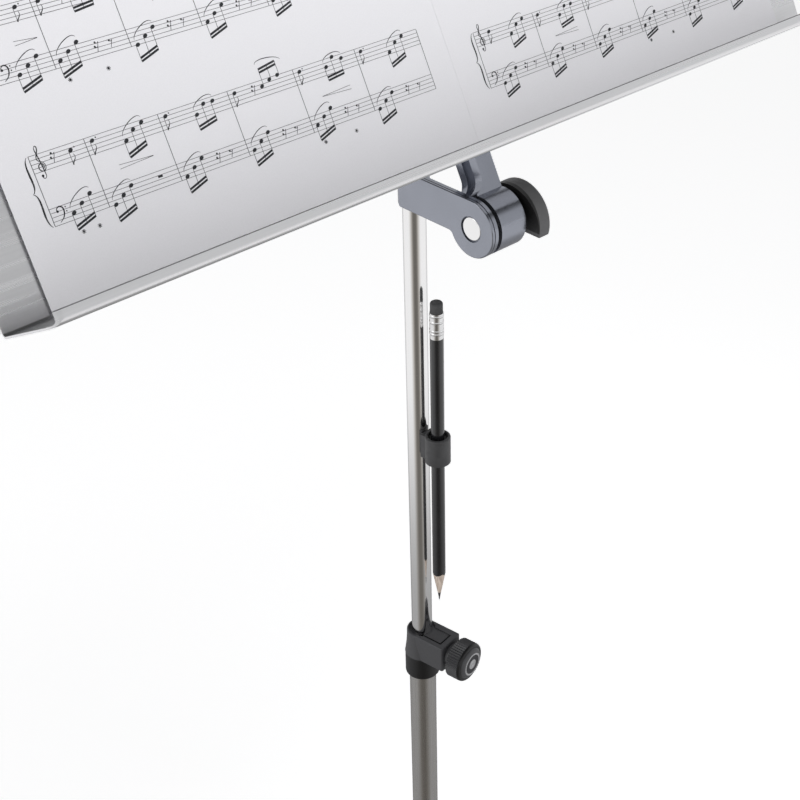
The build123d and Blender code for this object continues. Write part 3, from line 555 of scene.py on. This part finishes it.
paper_material = paper()
for side, name in ((-1, "music_pages_left"), (1, "music_pages_right")):
    points, faces = [], []
    for leaf in range(leaf_count):
        leaf_points, leaf_faces = leaf_block(side, leaf)
        faces += [tuple(i + len(points) for i in face) for face in leaf_faces]
        points += leaf_points
    piece_name = name.replace("music_", "booklet_")
    leaves = new_piece(piece_name, points, faces, paper_material, "sheet_music")
    for polygon in leaves.data.polygons:
        polygon.use_smooth = True
    leaves.data.set_sharp_from_angle(angle=radians(40))
    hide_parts(name)


# ------------------------------------------------------------------ printed notation
# Lengths in this section are millimetres. x runs across and u runs up the desk from its
# tilt axis.
class Score:
    """Flat printed shapes, gathered before they are laid on the paper."""

    def __init__(self):
        self.points = []
        self.faces = []

    def polygon(self, outline):
        start = len(self.points)
        self.points += outline
        self.faces.append(tuple(range(start, start + len(outline))))

    def stroke(self, path, widths):
        """A ribbon along a path, with a width at each of its points."""
        start = len(self.points)
        for index, (x, u) in enumerate(path):
            before, after = path[max(index - 1, 0)], path[min(index + 1, len(path) - 1)]
            dx, du = after[0] - before[0], after[1] - before[1]
            length = sqrt(dx * dx + du * du) or 1.0
            half = widths[index] / 2
            side = (-du / length * half, dx / length * half)
            self.points += [(x + side[0], u + side[1]), (x - side[0], u - side[1])]
        for index in range(len(path) - 1):
            a = start + 2 * index
            self.faces.append((a, a + 1, a + 3, a + 2))

    def line(self, start, end, width, step=6.0):
        length = sqrt((end[0] - start[0]) ** 2 + (end[1] - start[1]) ** 2)
        count = max(1, int(length / step))
        path = [
            tuple(start[axis] + (end[axis] - start[axis]) * i / count for axis in (0, 1))
            for i in range(count + 1)
        ]
        self.stroke(path, [width] * len(path))

    def oval(self, x, u, wide, tall, lean=0.0):
        turn = radians(lean)
        corners = 14
        outline = []
        for i in range(corners):
            a = 2 * pi * i / corners
            along, up = wide / 2 * cos(a), tall / 2 * sin(a)
            across = x + along * cos(turn) - up * sin(turn)
            outline.append((across, u + along * sin(turn) + up * cos(turn)))
        self.polygon(outline)


def bezier(points, count):
    """Points along a cubic curve."""
    path = []
    for i in range(count + 1):
        t = i / count
        weights = ((1 - t) ** 3, 3 * t * (1 - t) ** 2, 3 * t * t * (1 - t), t**3)
        path.append(tuple(sum(w * p[axis] for w, p in zip(weights, points)) for axis in (0, 1)))
    return path


def swell(count, thin, thick):
    """Widths that swell from thin to thick and back."""
    return [thin + (thick - thin) * sin(pi * i / count) for i in range(count + 1)]


space = 1.70                 # between two staff lines
line_width = 0.17
stem_width = 0.20
staff_height = 4 * space


def notehead(score, x, u):
    score.oval(x, u, 1.28 * space, 0.92 * space, 22.0)


def slur(score, start, end, rise):
    arch = bezier([start, (start[0], start[1] + rise), (end[0] - 1.5, end[1] + rise), end], 14)
    score.stroke(arch, swell(14, 0.12, 0.34))


def beamed_group(score, base, x, steps, gap=4.6, below=True):
    """Three notes on two beams. Steps count half spaces up from the staff's bottom line."""
    heads = [(x + gap * i, base + step * space / 2) for i, step in enumerate(steps)]
    side = -0.55 * space if below else 0.55 * space
    reach = -3.1 * space if below else 3.1 * space
    tips = [(px + side, pu + reach) for px, pu in heads]
    slope = (heads[-1][1] - heads[0][1]) / (heads[-1][0] - heads[0][0]) * 0.55
    anchor = min(t[1] for t in tips) if below else max(t[1] for t in tips)
    middle = (tips[0][0] + tips[-1][0]) / 2
    beam_at = [anchor + slope * (t[0] - middle) for t in tips]
    toward_heads = 1 if below else -1
    for (px, pu), tip, beam in zip(heads, tips, beam_at):
        notehead(score, px, pu)
        score.line((tip[0], pu), (tip[0], beam), stem_width, 4.0)
    for row in range(2):
        shift = toward_heads * row * 0.82 * space
        ends = ((tips[0][0], beam_at[0] + shift), (tips[-1][0], beam_at[-1] + shift))
        score.line(*ends, 0.52 * space, 3.0)
    if below:
        over = 1.3 * space
        start = (heads[0][0] - 0.8, heads[0][1] + over)
        slur(score, start, (heads[-1][0] + 0.4, heads[-1][1] + over), 2.6)
    else:
        top = max(beam_at) + 0.9
        slur(score, (heads[0][0], top), (heads[-1][0] + 4.0, top - 0.8), 2.4)


def flagged_note(score, base, x, step, dotted=True):
    u = base + step * space / 2
    notehead(score, x, u)
    stem = x - 0.55 * space
    score.line((stem, u), (stem, u - 3.3 * space), stem_width, 4.0)
    tail = bezier([(stem, u - 3.3 * space), (stem + 0.4, u - 2.3 * space),
                   (stem + 2.6, u - 2.2 * space), (stem + 1.5, u - 0.9 * space)], 8)
    score.stroke(tail, [0.55 - 0.05 * i for i in range(9)])
    if dotted:
        score.oval(x + 1.1 * space, u + 0.5 * space, 0.36 * space, 0.36 * space)


def short_rest(score, base, x, hooks):
    """A rest with one or two hooks on a leaning stem."""
    foot = (x, base + (1.0 if hooks > 1 else 1.2) * space)
    head = (x + 0.85 * space, base + (3.3 if hooks > 1 else 2.9) * space)
    score.line(foot, head, 0.22, 3.0)
    for hook in range(hooks):
        share = 1.0 - 0.42 * hook
        tip = (foot[0] + (head[0] - foot[0]) * share, foot[1] + (head[1] - foot[1]) * share)
        knob = (tip[0] - 0.85 * space, tip[1] - 0.05 * space)
        score.oval(knob[0], knob[1], 0.52 * space, 0.52 * space)
        curl = bezier([knob, (knob[0] + 0.4, knob[1] - 0.75), (tip[0] - 0.4, tip[1] - 0.6), tip], 5)
        score.stroke(curl, [0.34, 0.3, 0.26, 0.22, 0.2, 0.16])


def bar_rest(score, base, x):
    u = base + 2.7 * space
    score.line((x - 0.65 * space, u), (x + 0.65 * space, u), 0.55 * space, 3.0)


def curve_on(base, x, path, bends):
    """Add cubic curves to a path. Each bend is three points in staff spaces, then a count."""
    for *points, count in bends:
        places = [(x + across * space, base + up * space) for across, up in points]
        path += bezier([path[-1], *places], count)[1:]


def treble_clef(score, base, x):
    line = base + space
    steps = 26
    curl = []
    for i in range(steps + 1):
        turn = -pi / 2 + 2 * pi * i / 18
        size = space * (0.55 + 0.62 * i / steps)
        curl.append((x + size * cos(turn) * 0.9, line + size * sin(turn)))
    score.stroke(curl, [0.2 + 0.25 * sin(pi * i / steps) for i in range(steps + 1)])
    loop = [curl[-1]]
    curve_on(base, x, loop, (
        ((-1.9, 2.9), (0.5, 4.2), (0.35, 5.5), 10),
        ((0.1, 6.3), (-0.5, 5.6), (-0.3, 4.6), 8),
        ((0.0, 3.0), (0.25, 0.6), (0.3, -0.9), 8),
        ((0.3, -1.8), (-0.7, -1.9), (-0.6, -1.0), 6),
    ))
    score.stroke(loop, [0.22 + 0.22 * abs(sin(pi * i / 14)) for i in range(len(loop))])
    score.oval(x - 0.55 * space, base - 0.95 * space, 0.6 * space, 0.6 * space)


def bass_clef(score, base, x):
    line = base + 3 * space
    score.oval(x - 0.6 * space, line, 0.62 * space, 0.62 * space)
    hook = [(x - 0.8 * space, line)]
    curve_on(line, x, hook, (
        ((-0.7, 1.5), (1.5, 1.3), (0.9, -0.7), 12),
        ((0.7, -1.5), (0.0, -2.1), (-0.8, -2.5), 6),
    ))
    score.stroke(hook, [0.2 + 0.4 * sin(pi * i / (len(hook) - 1)) for i in range(len(hook))])
    for rise in (0.5, -0.5):
        score.oval(x + 1.6 * space, line + rise * space, 0.34 * space, 0.34 * space)


def brace(score, x, bottom, top):
    middle = (bottom + top) / 2
    for end in (bottom, top):
        reach = end - middle
        arm = bezier([(x - 3.0, middle), (x + 0.6, middle + 0.12 * reach),
                      (x - 3.6, middle + 0.78 * reach), (x - 0.2, end)], 14)
        score.stroke(arm, swell(14, 0.16, 0.78))


def hairpin(score, x, u, length, opening, closing=False):
    near, far = (opening, 0.1) if closing else (0.1, opening)
    for side in (1, -1):
        score.line((x, u + side * near / 2), (x + length, u + side * far / 2), 0.16)


def pedal_mark(score, x, u):
    """A small star for a lifted pedal."""
    for i in range(4):
        turn = pi * i / 4
        arm = (0.95 * cos(turn), 0.95 * sin(turn))
        score.line((x - arm[0], u - arm[1]), (x + arm[0], u + arm[1]), 0.24, 3.0)


def grand_system(score, start, end, bars, low_base, staff_gap, seed):
    """Two joined staves with bars at the given places, filled with a running figure."""
    high_base = low_base + staff_height + staff_gap
    for base in (low_base, high_base):
        for row in range(5):
            score.line((start, base + row * space), (end, base + row * space), line_width)
    top = high_base + staff_height
    for x in (start, *bars, end):
        score.line((x, low_base), (x, top), 0.24)
    brace(score, start - 0.6, low_base, top)
    treble_clef(score, high_base, start + 4.0)
    bass_clef(score, low_base, start + 4.2)
    after_clefs = start + 6.5
    edges = [after_clefs, *bars, end]
    for index, (left, right) in enumerate(zip(edges, edges[1:])):
        fill_bar(score, left, right, low_base, high_base, seed + index)


def fill_bar(score, left, right, low_base, high_base, seed):
    """One bar of an invented figure. The seed only picks where the notes lie."""
    room = right - left
    wide = room > 24
    rise = (seed * 5) % 4
    if wide:
        flagged_note(score, high_base, left + 3.2, 6 + (seed * 3) % 3, seed % 3 != 0)
        middle = left + room * 0.50
        if seed % 4 == 2:
            beamed_group(score, high_base, middle, (3 + rise, 5 + rise, 6 + rise), below=False)
        else:
            beamed_group(score, high_base, middle, (1 + rise, 5 + rise, 7 - rise % 2))
        if seed % 5 == 1:
            short_rest(score, high_base, left + room * 0.36, 2)
    else:
        short_rest(score, high_base, left + 3.0, 2)
        flagged_note(score, high_base, left + room * 0.62, 5 + seed % 3)
    beamed_group(score, low_base, left + 3.0, (rise, 3 + rise, 6 + rise))
    if wide:
        if seed % 6 == 4:
            bar_rest(score, low_base, left + room * 0.75)
        else:
            short_rest(score, low_base, left + room * 0.57, 2)
            short_rest(score, low_base, left + room * 0.75, 1)
    between = low_base + staff_height + 0.45 * (high_base - low_base - staff_height)
    if seed % 3 == 1:
        hairpin(score, left + room * 0.3, between, min(16.0, room * 0.55), 1.7, seed % 2 == 0)
    if seed % 4 == 3:
        pedal_mark(score, left + 4.0, low_base - 5.4)
        pedal_mark(score, left + room * 0.62, low_base - 5.4)


system_pitch = 56.2
systems = 5
top_inset = 9.0              # the first line of each page starts further in
ink_height = 0.03 * mm
gutter_mm = gutter / mm
page_mm = page_width / mm


def engrave(name, start, end, bars, lowest_base, staff_gap, seed):
    """Print five systems on one page and lay them on the paper as one thin layer of ink."""
    score = Score()
    for row in range(systems):
        inset = 0.0 if row < systems - 1 else top_inset
        low_base = lowest_base + system_pitch * row
        grand_system(score, start + inset, end, bars, low_base, staff_gap, seed + 7 * row)
    points = [on_page(x * mm, u * mm, ink_height) for x, u in score.points]
    piece = new_piece(name, points, score.faces, ink_material, "sheet_music")
    layer = piece.modifiers.new("thickness", "SOLIDIFY")
    layer.thickness = ink_height
    layer.offset = 1.0


ink_material = ink()
bar_width = 34.7
left_end = gutter_mm - 14.2
left_bars = [left_end - bar_width * step - 2.3 for step in (5, 4, 3, 2, 1)]
engrave("notation_left", left_end - bar_width * 5 - 27.0, left_end, left_bars, 66.9, 14.4, 3)
right_start = gutter_mm + 17.5
right_bars = [right_start + 4.8 + bar_width * step for step in (1, 2, 3, 4, 5)]
engrave("notation_right", right_start, gutter_mm + page_mm - 14.0, right_bars, 58.3, 13.1, 12)


# ------------------------------------------------------------------ floor, light and world
floor_half = 24.0
floor_drop = 0.4 * mm        # clear of the feet
sheen_radius = 9.0
sheen_height = 12 * mm
sheen_corners = 36
floor_mesh = bpy.data.meshes.new("floor")
floor_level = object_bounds()[0].z - floor_drop
quarter_signs = ((-1, -1), (1, -1), (1, 1), (-1, 1))
floor_corners = [(x * floor_half, y * floor_half, floor_level) for x, y in quarter_signs]
floor_mesh.from_pydata(floor_corners, [], [(0, 1, 2, 3)])
floor_surface = Surface("floor", (0.93, 0.93, 0.93), roughness=0.85)
floor_surface.tint(floor_surface.noise(2.0), 0.006)
floor_surface.set("Specular IOR Level", 0.0)
floor_surface.set("Emission Color", (1.0, 1.0, 1.0, 1.0))
floor_surface.set("Emission Strength", 0.68)
floor_mesh.materials.append(floor_surface.material)
floor = bpy.data.objects.new("floor", floor_mesh)
bpy.context.scene.collection.objects.link(floor)


def floor_sheen():
    """What polished metal sees of the floor: dark towards the camera, dimmer near the column.

    Only reflections see this disc.
    """
    mesh = bpy.data.meshes.new("floor_sheen")
    turns = [pi - 2 * pi * i / sheen_corners for i in range(1, sheen_corners + 1)]
    points = [(sheen_radius * cos(turn), sheen_radius * sin(turn), sheen_height) for turn in turns]
    mesh.from_pydata(points, [], [tuple(range(len(points)))])
    material = bpy.data.materials.new("floor_sheen")
    material.use_nodes = True
    tree = material.node_tree
    tree.nodes.clear()
    glow = tree.nodes.new("ShaderNodeEmission")
    out = tree.nodes.new("ShaderNodeOutputMaterial")
    tree.links.new(glow.outputs[0], out.inputs["Surface"])
    mesh.materials.append(material)
    piece = bpy.data.objects.new("floor_sheen", mesh)
    piece.visible_camera = False
    piece.visible_diffuse = False
    piece.visible_shadow = False
    piece.visible_transmission = False
    bpy.context.scene.collection.objects.link(piece)

    def math(operation, a, b=0.0):
        return math_node(tree, operation, a, b)

    def ramp(value, start, end, low, high):
        node = tree.nodes.new("ShaderNodeMapRange")
        node.interpolation_type = "SMOOTHSTEP"
        set_ramp(node, start, end, low, high)
        tree.links.new(value, node.inputs["Value"])
        return node.outputs["Result"]

    apart = tree.nodes.new("ShaderNodeSeparateXYZ")
    tree.links.new(tree.nodes.new("ShaderNodeTexCoord").outputs["Object"], apart.inputs[0])
    x, y = apart.outputs[0], apart.outputs[1]
    radius = math("SQRT", math("ADD", math("MULTIPLY", x, x), math("MULTIPLY", y, y)))
    camera_side = atan2(camera_place.y, camera_place.x)
    along = math("ADD", math("MULTIPLY", x, cos(camera_side)), math("MULTIPLY", y, sin(camera_side)))
    toward = math("DIVIDE", along, math("MAXIMUM", radius, 0.001))
    turned = math("ARCCOSINE", math("MINIMUM", math("MAXIMUM", toward, -1.0), 1.0))
    bright = ramp(radius, 0.66, 1.26, 0.36, 0.90)
    beside = ramp(turned, radians(8), radians(62), 0.0, 1.0)
    behind = ramp(turned, radians(115), radians(172), 1.0, 0.50)
    glowing = math("MULTIPLY", math("MULTIPLY", bright, beside), behind)
    shade = math("MULTIPLY", math("SUBTRACT", 1.0, beside), 0.14)
    tree.links.new(math("ADD", glowing, shade), glow.inputs["Strength"])
    mix = tree.nodes.new("ShaderNodeMix")
    mix.data_type = "RGBA"
    mix.inputs[6].default_value = (1.0, 0.93, 0.84, 1.0)
    mix.inputs[7].default_value = (0.99, 0.99, 1.0, 1.0)
    tree.links.new(beside, mix.inputs[0])
    tree.links.new(mix.outputs[2], glow.inputs["Color"])


floor_sheen()


def softbox(name, place, target, size, power):
    light = bpy.data.lights.new(name, "AREA")
    light.shape = "RECTANGLE"
    light.size, light.size_y = size
    light.energy = power
    lamp = bpy.data.objects.new(name, light)
    lamp.location = place
    lamp.rotation_mode = "QUATERNION"
    lamp.rotation_quaternion = (Vector(target) - Vector(place)).to_track_quat("-Z", "Y")
    bpy.context.scene.collection.objects.link(lamp)
    return lamp


key = softbox("key", (0.06, -0.40, 1.80), (0.0, 0.10, 1.20), (0.6, 0.4), 6.2)
key.visible_glossy = False
softbox("fill", (-1.6, 0.4, 1.7), (0.0, 0.0, 0.7), (1.2, 1.2), 6.0)

# The room: pale walls and a dark ceiling for the metal to reflect. The ceiling starts and
# ends at these rises of a sight line, as the Z of its unit direction.
ceiling_starts, ceiling_ends = 0.42, 0.66
wall_strength, ceiling_strength = 0.72, 0.05
world = bpy.data.worlds.new("studio")
bpy.context.scene.world = world
world.use_nodes = True
world_nodes, world_links = world.node_tree.nodes, world.node_tree.links
background = world_nodes["Background"]
direction = world_nodes.new("ShaderNodeTexCoord").outputs["Generated"]
parts = world_nodes.new("ShaderNodeSeparateXYZ")
world_links.new(direction, parts.inputs[0])
rise = world_nodes.new("ShaderNodeMapRange")
rise.interpolation_type = "SMOOTHSTEP"
set_ramp(rise, ceiling_starts, ceiling_ends, wall_strength, ceiling_strength)
world_links.new(parts.outputs[2], rise.inputs["Value"])
world_links.new(rise.outputs["Result"], background.inputs["Strength"])
background.inputs["Color"].default_value = (0.98, 0.985, 1.0, 1.0)

bpy.context.scene.view_settings.view_transform = "Standard"
